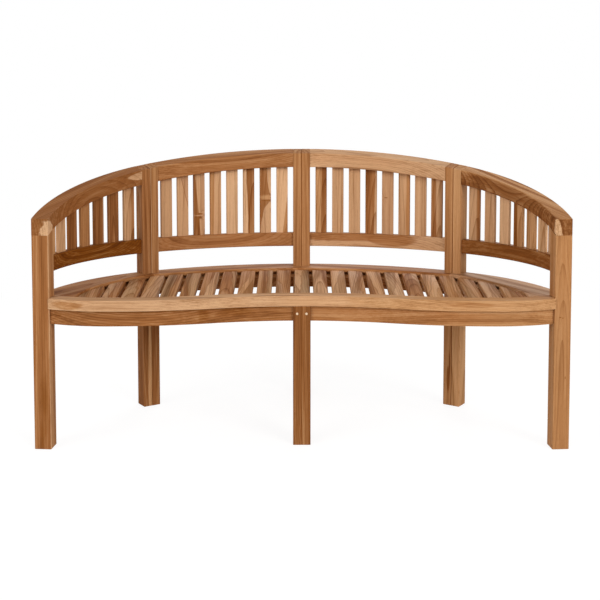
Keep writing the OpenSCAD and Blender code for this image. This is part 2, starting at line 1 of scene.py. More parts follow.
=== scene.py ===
"""Looks of a teak banana bench: every board gets eased edges and timber of its own.

Lengths are in metres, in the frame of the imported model: Z is up and the front faces -Y.
"""

import logging
import math
from dataclasses import dataclass, replace
from enum import Enum
from typing import ClassVar

import bmesh
import bpy
from mathutils import Euler, Matrix, Vector


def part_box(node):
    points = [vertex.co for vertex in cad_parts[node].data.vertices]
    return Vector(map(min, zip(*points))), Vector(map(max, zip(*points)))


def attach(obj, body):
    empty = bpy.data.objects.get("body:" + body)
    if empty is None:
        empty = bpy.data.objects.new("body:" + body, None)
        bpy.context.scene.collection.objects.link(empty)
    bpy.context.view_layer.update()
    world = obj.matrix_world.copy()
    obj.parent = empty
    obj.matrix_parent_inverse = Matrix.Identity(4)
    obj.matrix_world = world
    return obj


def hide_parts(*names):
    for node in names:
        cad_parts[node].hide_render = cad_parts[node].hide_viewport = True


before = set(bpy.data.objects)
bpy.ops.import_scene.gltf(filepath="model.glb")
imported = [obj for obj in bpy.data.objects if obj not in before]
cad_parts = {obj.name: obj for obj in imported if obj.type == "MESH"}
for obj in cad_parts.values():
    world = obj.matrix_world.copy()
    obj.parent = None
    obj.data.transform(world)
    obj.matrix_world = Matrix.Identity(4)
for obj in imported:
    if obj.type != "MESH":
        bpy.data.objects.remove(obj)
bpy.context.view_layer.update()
BODY = "root"

Rgb = tuple[int, int, int]
Pair = tuple[float, float]
Triple = tuple[float, float, float]
Rgba = tuple[float, float, float, float]
Socket = bpy.types.NodeSocket

X, Y, Z = Vector((1, 0, 0)), Vector((0, 1, 0)), Vector((0, 0, 1))
WHITE: Rgba = (1.0, 1.0, 1.0, 1.0)

log = logging.getLogger("bench")


# Tones of the timber

EARLY_WOOD: Rgb = (242, 206, 162)
EARLY_SHARE = 0.28
LATE_WOOD: Triple = (0.77, 0.7, 0.6)
MIDDLE_STOP = 0.45


@dataclass(frozen=True)
class Tone:
    """The middle colour of one kind of timber, as a display value from 0 to 255."""

    middle: Rgb

    def paler(self) -> Rgb:
        """Colour of the early wood, drawn towards cream."""
        return tuple(round(c + (cream - c) * EARLY_SHARE) for c, cream in zip(self.middle, EARLY_WOOD))

    def darker(self) -> Rgb:
        """Colour of the late wood, browner and deeper."""
        return tuple(round(c * depth) for c, depth in zip(self.middle, LATE_WOOD))


class Teak(Enum):
    """The pegs' pale wood, then teak from the palest down, then the seat's two duller tones, greyed
    partly in the timber and partly by painted sheen.
    """

    DOWEL = Tone((240, 220, 192))
    SAPWOOD = Tone((216, 174, 134))
    CREAM = Tone((200, 156, 116))
    HONEY = Tone((194, 145, 99))
    TAN = Tone((188, 144, 107))
    GOLDEN = Tone((176, 124, 78))
    AMBER = Tone((166, 112, 67))
    RUSSET = Tone((155, 101, 57))
    CHESTNUT = Tone((144, 91, 48))
    BROWN = Tone((138, 83, 36))
    UMBER = Tone((128, 71, 17))
    # This dull tan and the grey below are greyed partly in the timber and partly by painted sheen, the
    # pale room's reflection on the seat's top.
    DULL_TAN_PAINTED_SHEEN = Tone((170, 126, 84))
    GREY = Tone((156, 117, 80))


def linear(colour: Rgb) -> Rgba:
    """Turns a display colour into the linear one that a shader takes.

    Args:
        colour: Red, green and blue from 0 to 255.

    Returns:
        Linear red, green and blue, and an alpha of 1.
    """
    parts = [c / 255 for c in colour]
    red, green, blue = (
        c / 12.92 if c <= 0.04045 else ((c + 0.055) / 1.055) ** 2.4 for c in parts
    )
    return red, green, blue, 1.0


# Boards and what is special about each

GLUE_SHARE = 0.9
GLUE_SOFT = 0.0006
GLUE_WAVER = 0.0004


@dataclass(frozen=True)
class Knot:
    """A knot in a board's face, placed from the middle of the board."""

    along: float
    across: float
    radius: float = 0.006


@dataclass(frozen=True)
class Zone:
    """What lies to one side of a line down a board's face, in another tone."""

    tone: Teak
    across: float = 0.0
    slant: float = 0.0
    right: bool = True
    soft: float = 0.0015
    waver: float = 0.003
    line: float = 0.0


@dataclass(frozen=True)
class Patch:
    """An egg-shaped body of other timber inside a board, with a wavering edge; a few of them are painted
    highlights.

    Its middle and its half lengths are given along, across and through the board.
    """

    tone: Teak
    middle: Triple
    half: Triple
    soft: float = 0.25
    waver: float = 0.35
    line: float = 0.0


@dataclass(frozen=True)
class Board:
    """The timber of one board: where the tree's middle lay from it, and its marks."""

    tone: Teak
    seed: int = 0
    pith: Pair = (0.02, -0.09)
    ring: float = 0.0045
    contrast: float = 1.0
    wander: float = 0.016
    taper: float = 0.02
    zones: tuple[Zone, ...] = ()
    patches: tuple[Patch, ...] = ()
    knots: tuple[Knot, ...] = ()


def glued(board: Board, edge: float) -> Board:
    """Adds the dark line of the glue to a board.

    Args:
        board: The board's timber.
        edge: Where its glued edge is, across the board from its middle.

    Returns:
        The board with the line.
    """
    line = Zone(
        Teak.BROWN, across=edge * GLUE_SHARE, right=edge > 0, soft=GLUE_SOFT, waver=GLUE_WAVER
    )
    return replace(board, zones=(*board.zones, line))


@dataclass(frozen=True)
class Lie:
    """How a board lies: its middle, its length and the direction across its shown face."""

    middle: Vector
    along: Vector
    across: Vector

    def turn(self) -> Euler:
        """Works out how the board is turned in the bench.

        Returns:
            The rotation from the board's own axes to those of the bench.
        """
        along = self.along.normalized()
        through = along.cross(self.across).normalized()
        across = through.cross(along)
        return Matrix((along, across, through)).transposed().to_euler()


def middle_of(*nodes: str) -> Vector:
    """Middle of the box round some nodes.

    Args:
        nodes: Names of the nodes.

    Returns:
        The middle of the box that holds them all.
    """
    boxes = [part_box(n) for n in nodes]
    low = Vector(min(b[0][i] for b in boxes) for i in range(3))
    high = Vector(max(b[1][i] for b in boxes) for i in range(3))
    return (low + high) / 2


# Wiring of the finishes


@dataclass(frozen=True)
class Pattern:
    """How often a noise changes along, across and through a board, per metre, and its finer layers."""

    often: Triple
    detail: float = 1.0


class Wiring:
    """Adds nodes to a material and links them."""

    def __init__(self, tree: bpy.types.NodeTree) -> None:
        """Empties the tree.

        Args:
            tree: Node tree of a material or of the world.
        """
        self.tree = tree
        tree.nodes.clear()

    def put(self, target: Socket, value: object) -> None:
        """Links a socket to another one, or sets its value.

        Args:
            target: The socket that is fed.
            value: The socket or the plain value that feeds it.
        """
        if isinstance(value, bpy.types.NodeSocket):
            self.tree.links.new(value, target)
        else:
            target.default_value = value

    def add(self, kind: str, *values: object, **settings: object) -> bpy.types.Node:
        """Adds a node.

        Args:
            kind: Type name of the node.
            values: What goes to its first inputs, in order; None leaves one alone.
            settings: Properties of the node.

        Returns:
            The new node.
        """
        node = self.tree.nodes.new(kind)
        for name, value in settings.items():
            setattr(node, name, value)
        for target, value in zip(node.inputs, values):
            if value is not None:
                self.put(target, value)
        return node

    def maths(self, operation: str, *values: object) -> Socket:
        """One step of arithmetic."""
        return self.add("ShaderNodeMath", *values, operation=operation).outputs[0]

    def vector(self, operation: str, *values: object) -> Socket:
        """One step of vector arithmetic that gives a vector."""
        return self.add("ShaderNodeVectorMath", *values, operation=operation).outputs[0]

    def measure(self, operation: str, *values: object) -> Socket:
        """One step of vector arithmetic that gives a number."""
        return self.add("ShaderNodeVectorMath", *values, operation=operation).outputs[1]

    def noise(self, place: Socket, pattern: Pattern) -> bpy.types.Node:
        """Noise that changes at its own rate in each direction."""
        often = self.vector("MULTIPLY", place, pattern.often)
        return self.add("ShaderNodeTexNoise", often, None, 1.0, pattern.detail)

    def swing(self, noise: bpy.types.Node, amount: float = 1.0) -> Socket:
        """A noise as a number that swings by an amount to each side of nought."""
        return self.maths("MULTIPLY_ADD", noise.outputs[0], 2 * amount, -amount)

    def step(self, value: Socket, low: float, high: float) -> Socket:
        """A soft step from 0 at one value to 1 at another."""
        node = self.add("ShaderNodeMapRange", value, low, high, 0.0, 1.0, interpolation_type="SMOOTHSTEP")
        return node.outputs[0]

    def ramp(self, value: Socket, tone: Tone) -> Socket:
        """Colours a number with a tone.

        Args:
            value: The number, from 0 for the palest to 1 for the darkest.
            tone: The tone.

        Returns:
            The colour.
        """
        node = self.add("ShaderNodeValToRGB", value)
        stops = node.color_ramp.elements
        stops[0].color, stops[1].color = linear(tone.paler()), linear(tone.darker())
        stops.new(MIDDLE_STOP).color = linear(tone.middle)
        return node.outputs[0]

    def mix(self, share: object, one: object, other: object, blend: str = "MIX") -> Socket:
        """Mixes two colours.

        Args:
            share: How much of the other colour shows.
            one: The first colour.
            other: The other colour.
            blend: How the other colour is laid over the first.

        Returns:
            The mixed colour.
        """
        node = self.add("ShaderNodeMix", data_type="RGBA", blend_type=blend)
        self.put(node.inputs[0], share)
        self.put(node.inputs[6], one)
        self.put(node.inputs[7], other)
        return node.outputs[2]


@dataclass(frozen=True)
class TeakFinish:
    """Sanded teak: tree rings, streaks, fibres and pores that run through the whole board."""

    stem: Pattern = Pattern((1.6, 3.0, 3.0))
    streak: Pattern = Pattern((1.6, 55.0, 55.0), 3.0)
    thread: Pattern = Pattern((4.0, 170.0, 170.0))
    fibre: Pattern = Pattern((9.0, 420.0, 420.0))
    pore: Pattern = Pattern((60.0, 1300.0, 1300.0), 0.0)
    blush: Pattern = Pattern((2.5, 14.0, 14.0))
    zone_edge: Pattern = Pattern((8.0, 12.0, 12.0), 2.0)
    patch_edge: Pattern = Pattern((20.0, 60.0, 60.0), 2.0)
    seed_step: Triple = (1.37, 0.73, 0.31)
    ring_start: float = 0.61
    fray: float = 0.001
    line_power: float = 4.0
    band_rate: float = 0.3
    plain_level: float = 0.34
    band_share: float = 0.6
    ring_share: float = 0.16
    line_share: float = 0.5
    streak_share: float = 0.5
    thread_share: float = 0.34
    fibre_share: float = 0.28
    knot_stretch: Triple = (0.6, 1.0, 0.0)
    knot_fade: float = -0.15
    knot_push: float = 1.8
    dot_stretch: Triple = (2.2, 0.7, 0.0)
    dot_reach: Pair = (1.3, 0.3)
    dot_share: float = 0.75
    warm: Triple = (1.06, 0.98, 0.89)
    cool: Triple = (0.97, 1.01, 1.06)
    pore_reach: Pair = (0.62, 0.72)
    pore_share: float = 0.3
    end_reach: Pair = (0.45, 0.95)
    end_tint: Triple = (0.88, 0.85, 0.82)
    line_depth: float = -0.4
    pore_depth: float = -0.8
    bump_strength: float = 0.2
    bump_depth: float = 0.0004
    roughness: float = 0.56
    roughness_share: float = 0.12
    gloss: float = 0.06

    def dress(self, name: str, board: Board, lie: Lie) -> bpy.types.Material:
        """Makes the material of one board.

        Args:
            name: Name of the material.
            board: The board's timber.
            lie: How the board lies in the bench.

        Returns:
            The material.
        """
        material = bpy.data.materials.new(name)
        material.use_nodes = True
        w = Wiring(material.node_tree)
        here = w.add("ShaderNodeTexCoord").outputs["Object"]
        own = w.add("ShaderNodeMapping", here, lie.middle, lie.turn(), vector_type="TEXTURE").outputs[0]
        seeded = w.vector("ADD", own, tuple(board.seed * step for step in self.seed_step))
        streak = w.swing(w.noise(seeded, self.streak))
        fibre = w.swing(w.noise(seeded, self.fibre))
        pore = w.step(w.noise(seeded, self.pore).outputs[0], *self.pore_reach)
        radius, push, dots = self.rings(w, own, seeded, streak, board)
        count = w.maths("MULTIPLY_ADD", radius, 1 / board.ring, board.seed * self.ring_start)
        line = w.maths("POWER", w.maths("FRACT", count), self.line_power)
        shares = (
            (line, self.line_share * board.contrast),
            (streak, self.streak_share * board.contrast),
            (w.swing(w.noise(seeded, self.thread)), self.thread_share * board.contrast),
            (fibre, self.fibre_share),
        )
        dark = self.bands(w, count, board)
        for grain, share in shares:
            dark = w.maths("MULTIPLY_ADD", grain, share, dark)
        colour = self.marks(w, own, seeded, dark, push, board)
        umber = linear(Teak.UMBER.value.middle)
        for dot in dots:
            colour = w.mix(w.maths("MULTIPLY", dot, self.dot_share), colour, umber)
        colour = self.tinted(w, colour, seeded, lie, (pore, linear(board.tone.value.darker())))
        pitted = w.maths("MULTIPLY_ADD", pore, self.pore_depth, fibre)
        self.surface(w, colour, dark, w.maths("MULTIPLY_ADD", line, self.line_depth, pitted))
        return material

    def bands(self, w: Wiring, count: Socket, board: Board) -> Socket:
        """Darkens some rings, and some groups of rings, more than others.

        Args:
            w: The material's wiring.
            count: How many rings lie between a place and the tree's middle.
            board: The board's timber.

        Returns:
            How dark the grain is so far.
        """
        each = w.add("ShaderNodeTexWhiteNoise", None, w.maths("FLOOR", count), noise_dimensions="1D")
        place = w.maths("MULTIPLY", count, self.band_rate)
        band = w.add("ShaderNodeTexNoise", None, place, 1.0, 1.0, noise_dimensions="1D")
        dark = w.maths("MULTIPLY_ADD", w.swing(band), self.band_share * board.contrast, self.plain_level)
        return w.maths("MULTIPLY_ADD", each.outputs[0], self.ring_share * board.contrast, dark)

    def tinted(
        self, w: Wiring, colour: Socket, seeded: Socket, lie: Lie, pores: tuple[Socket, Rgba]
    ) -> Socket:
        """Warms and cools a board's colour in soft areas, and darkens its pores and its ends.

        Args:
            w: The material's wiring.
            colour: The colour of the grain.
            seeded: Place in the board's own axes, shifted so that no two boards are alike.
            lie: How the board lies in the bench.
            pores: Where the pores are, and their colour.

        Returns:
            The colour.
        """
        warmth = w.noise(seeded, self.blush).outputs[0]
        tint = w.mix(warmth, (*self.warm, 1.0), (*self.cool, 1.0))
        colour = w.mix(1.0, colour, tint, "MULTIPLY")
        colour = w.mix(w.maths("MULTIPLY", pores[0], self.pore_share), colour, pores[1])
        facing = w.add("ShaderNodeNewGeometry").outputs["Normal"]
        into_end = w.maths("ABSOLUTE", w.measure("DOT_PRODUCT", facing, lie.along.normalized()))
        ended = w.mix(1.0, colour, (*self.end_tint, 1.0), "MULTIPLY")
        return w.mix(w.step(into_end, *self.end_reach), colour, ended)

    def surface(self, w: Wiring, colour: Socket, dark: Socket, height: Socket) -> None:
        """Gives the wood its sheen and its feel.

        Args:
            w: The material's wiring.
            colour: The colour of the wood.
            dark: How dark the grain is; dark grain is a little rougher.
            height: How far the fibres stand up.
        """
        shader = w.add("ShaderNodeBsdfPrincipled")
        bump = w.add("ShaderNodeBump")
        w.put(bump.inputs["Strength"], self.bump_strength)
        w.put(bump.inputs["Distance"], self.bump_depth)
        w.put(bump.inputs["Height"], height)
        w.put(shader.inputs["Base Color"], colour)
        rough = w.maths("MULTIPLY_ADD", dark, self.roughness_share, self.roughness)
        w.put(shader.inputs["Roughness"], rough)
        w.put(shader.inputs["Normal"], bump.outputs[0])
        w.put(shader.inputs["Specular IOR Level"], self.gloss)
        w.add("ShaderNodeOutputMaterial", shader.outputs[0])

    def rings(
        self, w: Wiring, own: Socket, seeded: Socket, streak: Socket, board: Board
    ) -> tuple[Socket, object, list[Socket]]:
        """Distance from the tree's middle, which wanders and swells round each knot.

        Args:
            w: The material's wiring.
            own: Place in the board's own axes.
            seeded: The same place, shifted so that no two boards are alike.
            streak: Streaks that fray the rings.
            board: The board's timber.

        Returns:
            The distance, how far the knots push the grain aside, and a mask for the dark
            middle of each knot.
        """
        stem = w.vector("SUBTRACT", w.noise(seeded, self.stem).outputs[1], (0.5, 0.5, 0.5))
        bent = w.vector("ADD", own, w.vector("MULTIPLY", stem, (0, board.wander * 2, board.wander * 2)))
        side, depth = board.pith
        to_pith = w.vector("MULTIPLY", w.vector("SUBTRACT", bent, (0, side, depth)), (0, 1, 1))
        radius = w.maths("MULTIPLY_ADD", streak, self.fray, w.measure("LENGTH", to_pith))
        along = w.add("ShaderNodeSeparateXYZ", own).outputs[0]
        radius = w.maths("MULTIPLY_ADD", along, board.taper, radius)
        push, dots = 0.0, []
        for knot in board.knots:
            gap = w.vector("SUBTRACT", own, (knot.along, knot.across, 0))
            spread = w.measure("LENGTH", w.vector("MULTIPLY", gap, self.knot_stretch))
            near = w.maths("DIVIDE", spread, knot.radius)
            fade = w.maths("MULTIPLY", w.maths("MULTIPLY", near, near), self.knot_fade)
            push = w.maths("MULTIPLY_ADD", w.maths("EXPONENT", fade), knot.radius * self.knot_push, push)
            flat = w.measure("LENGTH", w.vector("MULTIPLY", gap, self.dot_stretch))
            dots.append(w.step(w.maths("DIVIDE", flat, knot.radius), *self.dot_reach))
        return w.maths("ADD", radius, push), push, dots

    def marks(
        self, w: Wiring, own: Socket, seeded: Socket, dark: Socket, push: object, board: Board
    ) -> Socket:
        """Colours the grain, with the board's zones and patches of other timber, some of which paint
        light.

        Args:
            w: The material's wiring.
            own: Place in the board's own axes.
            seeded: The same place, shifted so that no two boards are alike.
            dark: How dark the grain is.
            push: How far the knots push the grain aside.
            board: The board's timber.

        Returns:
            The colour.
        """
        colour = w.ramp(dark, board.tone.value)
        along, across, _ = w.add("ShaderNodeSeparateXYZ", own).outputs
        for zone in board.zones:
            edge = w.maths("MULTIPLY_ADD", along, -zone.slant, across)
            wavy = w.maths("ADD", w.swing(w.noise(seeded, self.zone_edge), zone.waver), edge)
            wavy = w.maths("ADD" if zone.right else "SUBTRACT", wavy, push)
            reach = (zone.across - zone.soft, zone.across + zone.soft)
            mask = w.step(wavy, *(reach if zone.right else reach[::-1]))
            colour = self.blend(w, mask, colour, w.ramp(dark, zone.tone.value), zone.line)
        for patch in board.patches:
            gap = w.vector("DIVIDE", w.vector("SUBTRACT", own, patch.middle), patch.half)
            wavy = w.swing(w.noise(seeded, self.patch_edge), patch.waver)
            spread = w.maths("ADD", w.measure("LENGTH", gap), wavy)
            mask = w.step(spread, 1 + patch.soft, 1 - patch.soft)
            colour = self.blend(w, mask, colour, w.ramp(dark, patch.tone.value), patch.line)
        return colour

    def blend(self, w: Wiring, mask: Socket, colour: Socket, other: Socket, line: float) -> Socket:
        """Lays another timber over a colour, with a dark line where the two meet.

        Args:
            w: The material's wiring.
            mask: Where the other timber shows.
            colour: The first timber's colour.
            other: The other timber's colour.
            line: How dark the line is, from 0 for none to 1.

        Returns:
            The colour.
        """
        colour = w.mix(mask, colour, other)
        if line:
            rim = w.maths("MULTIPLY", mask, w.maths("SUBTRACT", 1.0, mask))
            colour = w.mix(w.maths("MULTIPLY", rim, 4 * line), colour, linear(Teak.BROWN.value.middle))
        return colour


FINISH = TeakFinish()


# Edges and pieces

WELD = 0.00002
FLAT = math.radians(0.3)
SHARP = math.radians(50)
EASED_STEPS = 3
ROUNDED_STEPS = 4
SHADING_WEIGHT = 60


def ease_edges(piece: bpy.types.Object, width: float, weighted: bool = False) -> None:
    """Rounds a board's sharp edges without touching its own mesh.

    Args:
        piece: The board.
        width: How wide the rounding is.
        weighted: Whether each edge says by its weight how much of the width it takes.
    """
    if not weighted:
        weld = piece.modifiers.new("weld", "WELD")
        weld.merge_threshold = WELD
        flats = piece.modifiers.new("flats", "DECIMATE")
        flats.decimate_type = "DISSOLVE"
        flats.angle_limit = FLAT
    bevel = piece.modifiers.new("eased", "BEVEL")
    bevel.width = width
    bevel.segments = ROUNDED_STEPS if weighted else EASED_STEPS
    bevel.limit_method = "WEIGHT" if weighted else "ANGLE"
    bevel.angle_limit = SHARP
    smooth = piece.modifiers.new("shading", "WEIGHTED_NORMAL")
    smooth.weight = SHADING_WEIGHT


def give_timber(piece: bpy.types.Object, board: Board, lie: Lie) -> None:
    """Gives a piece its timber.

    Args:
        piece: The board.
        board: Its timber.
        lie: How it lies.
    """
    material = FINISH.dress(piece.name + "_teak", board, lie)
    if piece.data.materials:
        piece.material_slots[0].link = "OBJECT"
        piece.material_slots[0].material = material
    else:
        piece.data.materials.append(material)
    log.info("%s: %s", piece.name, board.tone.name.lower())


def finish_node(name: str, board: Board, lie: Lie, easing: float) -> None:
    """Eases the edges of a node and gives it its timber."""
    ease_edges(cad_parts[name], easing)
    give_timber(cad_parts[name], board, lie)


def stand_in(name: str, mesh: bpy.types.Mesh, node: str) -> bpy.types.Object:
    """Puts a mesh in the place of a node, or of one of its boards.

    Args:
        name: Name of the new piece.
        mesh: Its mesh, in the bench's own frame.
        node: The node that it stands for.

    Returns:
        The new piece.
    """
    piece = bpy.data.objects.new(name, mesh)
    bpy.context.scene.collection.objects.link(piece)
    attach(piece, BODY)
    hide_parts(node)
    return piece


def level_chord(start: Vector, end: Vector) -> Vector:
    """Level direction from one place to another."""
    return Vector((end.x - start.x, end.y - start.y, 0)).normalized()


def rightward(direction: Vector) -> Vector:
    """The same line, pointing to the right."""
    return direction if direction.x > 0 else -direction


def post_place(side: str) -> Vector:
    """Middle of a rear post."""
    return middle_of(*(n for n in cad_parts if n.startswith("rear_post_" + side)))


def run_of(name: str, in_arm: bool) -> Vector:
    """Finds which way a piece of an arm or of the back runs.

    Args:
        name: Name of the piece, which ends with its side.
        in_arm: Whether it runs to the front leg, and not to the centre post.

    Returns:
        The level direction, to the right.
    """
    side = name.rsplit("_", 1)[1]
    end = middle_of("front_leg_" + side) if in_arm else post_place("centre")
    return rightward(level_chord(post_place(side), end))


@dataclass
class Legs:
    """The front legs: two plain ones and a centre one of two boards."""

    easing: float = 0.0015
    boards: ClassVar[dict[str, Board]] = {
        "front_leg_left": Board(
            Teak.RUSSET, seed=3, pith=(0.06, -0.05), ring=0.005, contrast=0.8,
            # The golden zone is painted light on the inner side, and the cream rod down the front right
            # edge is a painted highlight on that eased edge.
            zones=(Zone(Teak.GOLDEN, across=0.0226, soft=0.0008, waver=0.0006),),
            patches=(
                Patch(Teak.CREAM, (0.0, 0.0265, -0.0265), (0.9, 0.005, 0.005), soft=0.2, waver=0.1),
                Patch(Teak.BROWN, (-0.2, 0.006, 0.0), (0.07, 0.013, 0.3), soft=0.8, waver=0.6),
                Patch(Teak.BROWN, (-0.31, -0.002, 0.0), (0.04, 0.006, 0.3), soft=0.8, waver=0.6),
            ),
        ),
        "front_leg_right": Board(
            Teak.GOLDEN, seed=4, pith=(0.0, -0.05), ring=0.005, contrast=0.7,
            patches=(
                Patch(Teak.BROWN, (0.062, -0.006, 0.0), (0.0016, 0.0035, 0.3), soft=0.6, waver=0.2),
                Patch(Teak.BROWN, (0.06, 0.002, 0.0), (0.0018, 0.002, 0.3), soft=0.6, waver=0.2),
                Patch(Teak.BROWN, (-0.12, 0.012, 0.0), (0.004, 0.0015, 0.3), soft=0.6, waver=0.2),
            ),
        ),
        "front_leg_centre_board_left": Board(Teak.CHESTNUT, seed=5, pith=(0.06, 0.02), ring=0.004),
        "front_leg_centre_board_right": Board(Teak.CHESTNUT, seed=6, pith=(-0.05, 0.02), ring=0.004),
    }

    def build(self) -> None:
        """Dresses the legs."""
        for name, board in self.boards.items():
            if "board" in name:
                seam = middle_of(*(n for n in self.boards if "board" in n))
                board = glued(board, seam.x - middle_of(name).x)
            finish_node(name, board, Lie(middle_of(name), Z, X), self.easing)


@dataclass
class RearPosts:
    """The rear posts, each of two boards."""

    easing: float = 0.002
    boards: ClassVar[dict[str, Board]] = {
        "rear_post_left_board_outer": Board(
            Teak.AMBER, seed=11, pith=(-0.05, 0.01), ring=0.004,
            patches=(
                Patch(Teak.CHESTNUT, (-0.3, 0.0, 0.0), (0.25, 0.1, 0.3), soft=0.15, waver=0.1),
                Patch(
                    Teak.HONEY, (-0.3, 0.0085, 0.0), (0.24, 0.0085, 0.3), soft=0.15, waver=0.2, line=0.3,
                ),
            ),
        ),
        "rear_post_left_board_inner": Board(
            Teak.GOLDEN, seed=12, pith=(0.06, 0.02), ring=0.005, contrast=0.9,
            zones=(Zone(Teak.CREAM, across=-0.0106, right=False),),
            patches=(Patch(Teak.CHESTNUT, (-0.32, 0.0, 0.0), (0.32, 0.1, 0.3), soft=0.2, waver=0.3),),
        ),
        "rear_post_centre_board_left": Board(
            Teak.GOLDEN, seed=13, pith=(0.06, -0.02), ring=0.004, contrast=0.8,
        ),
        "rear_post_centre_board_right": Board(
            Teak.GOLDEN, seed=14, pith=(-0.05, -0.02), ring=0.004, contrast=0.9,
        ),
        "rear_post_right_board_inner": Board(
            Teak.GOLDEN, seed=15, pith=(0.07, 0.0), ring=0.004, contrast=0.8,
            patches=(
                Patch(Teak.BROWN, (-0.318, 0.003, 0.0), (0.042, 0.006, 0.3), waver=0.4, line=0.4),
                Patch(Teak.BROWN, (-0.28, 0.008, 0.0), (0.05, 0.003, 0.3), soft=0.4, waver=0.4),
            ),
        ),
        "rear_post_right_board_outer": Board(
            Teak.HONEY, seed=16, pith=(-0.05, 0.03), ring=0.004, contrast=0.8,
        ),
    }

    def build(self) -> None:
        """Dresses the posts."""
        for name, board in self.boards.items():
            post = name.rsplit("_", 1)[0]
            first, other = (n for n in self.boards if n.startswith(post))
            across = level_chord(middle_of(first), middle_of(other))
            edge = (post_place(name.split("_")[2]) - middle_of(name)).dot(across)
            finish_node(name, glued(board, edge), Lie(middle_of(name), Z, across), self.easing)


@dataclass
class TopRails:
    """The arm rails and the back's top rails, with broad roundings down their length."""

    long_edge: float = 0.0055
    outer_share: float = 0.4
    end_share: float = 0.15
    least_onward: float = 0.95
    least_outward: float = 0.4
    slot: str = "top_rail_teak"
    boards: ClassVar[dict[str, Board]] = {
        "arm_rail_left": Board(
            Teak.CHESTNUT, seed=21, pith=(-0.05, -0.12), ring=0.007, contrast=0.7, wander=0.02,
            taper=0.0,
            patches=(
                Patch(
                    Teak.SAPWOOD, (-0.24, -0.02, 0.054), (0.05, 0.044, 0.028), soft=0.08, waver=0.3,
                    line=0.3,
                ),
                Patch(
                    Teak.CREAM, (0.218, 0.008, 0.03), (0.046, 0.014, 0.06), soft=0.1, waver=0.3,
                    line=0.7,
                ),
            ),
        ),
        "arm_rail_right": Board(
            Teak.CHESTNUT, seed=22, pith=(0.0, 0.09), contrast=1.3, wander=0.012, taper=0.0,
            patches=(
                Patch(Teak.GOLDEN, (0.0, 0.034, 0.0), (1.5, 0.012, 0.5), soft=0.1, waver=0.1),
                Patch(
                    Teak.SAPWOOD, (0.264, -0.02, 0.055), (0.034, 0.3, 0.021), soft=0.06, waver=0.08,
                    line=0.5,
                ),
                Patch(Teak.CREAM, (-0.272, 0.0, 0.04), (0.012, 0.3, 0.05), soft=0.1, waver=0.3, line=0.4),
            ),
        ),
        "back_top_rail_left": Board(Teak.AMBER, seed=23, pith=(0.05, -0.05), ring=0.005, contrast=0.9),
        "back_top_rail_right": Board(Teak.CREAM, seed=24, pith=(-0.07, -0.03), ring=0.005, contrast=0.8),
    }

    def slope(self) -> float:
        """Works out the slope of the plane of the tops from the heights of its ends.

        Returns:
            The angle to the floor.
        """
        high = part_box("arm_rail_left")[1]
        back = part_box("back_top_rail_left")[1]
        return math.atan2(back.z - high.z, back.y - high.y)

    def rounded(self, node: str) -> bpy.types.Mesh:
        """Copies a rail and marks how far each of its edges is rounded.

        Args:
            node: Name of the rail's node.

        Returns:
            The copy's mesh.
        """
        rail = bmesh.new()
        rail.from_mesh(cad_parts[node].data)
        bmesh.ops.remove_doubles(rail, verts=rail.verts, dist=WELD)
        bmesh.ops.dissolve_limit(rail, angle_limit=FLAT, verts=rail.verts, edges=rail.edges)
        weight = rail.edges.layers.float.new("bevel_weight_edge")
        sharp = {e for e in rail.edges if e.is_manifold and e.calc_face_angle() > SHARP}
        for edge in sharp:
            long_share = self.outer_share if self.faces_out(edge) else 1.0
            edge[weight] = long_share if self.runs_on(edge, sharp) else self.end_share
        mesh = bpy.data.meshes.new(node + "_rounded")
        rail.to_mesh(mesh)
        rail.free()
        mesh.materials.clear()
        return mesh

    def runs_on(self, edge: bmesh.types.BMEdge, sharp: set[bmesh.types.BMEdge]) -> bool:
        """Finds whether an edge goes on in nearly the same direction at either end.

        Args:
            edge: The edge.
            sharp: All the rail's sharp edges.

        Returns:
            Whether it does.
        """
        for vert in edge.verts:
            heading = (vert.co - edge.other_vert(vert).co).normalized()
            for other in vert.link_edges:
                if other is edge or other not in sharp:
                    continue
                onward = (other.other_vert(vert).co - vert.co).normalized()
                if heading.dot(onward) > self.least_onward:
                    return True
        return False

    def faces_out(self, edge: bmesh.types.BMEdge) -> bool:
        """Whether an edge bounds the rail's outer side."""
        outward = (edge.verts[0].co.xy + edge.verts[1].co.xy).normalized()
        return any(face.normal.xy.dot(outward) > self.least_outward for face in edge.link_faces)

    def build(self) -> None:
        """Makes and dresses the rails."""
        rise = Vector((0, -math.sin(self.slope()), math.cos(self.slope())))
        for name, board in self.boards.items():
            along = run_of(name, name.startswith("arm"))
            along = (along - rise * along.dot(rise)).normalized()
            piece = stand_in(name + "_rounded", self.rounded(name), name)
            ease_edges(piece, self.long_edge, weighted=True)
            give_timber(piece, board, Lie(middle_of(name), along, rise))


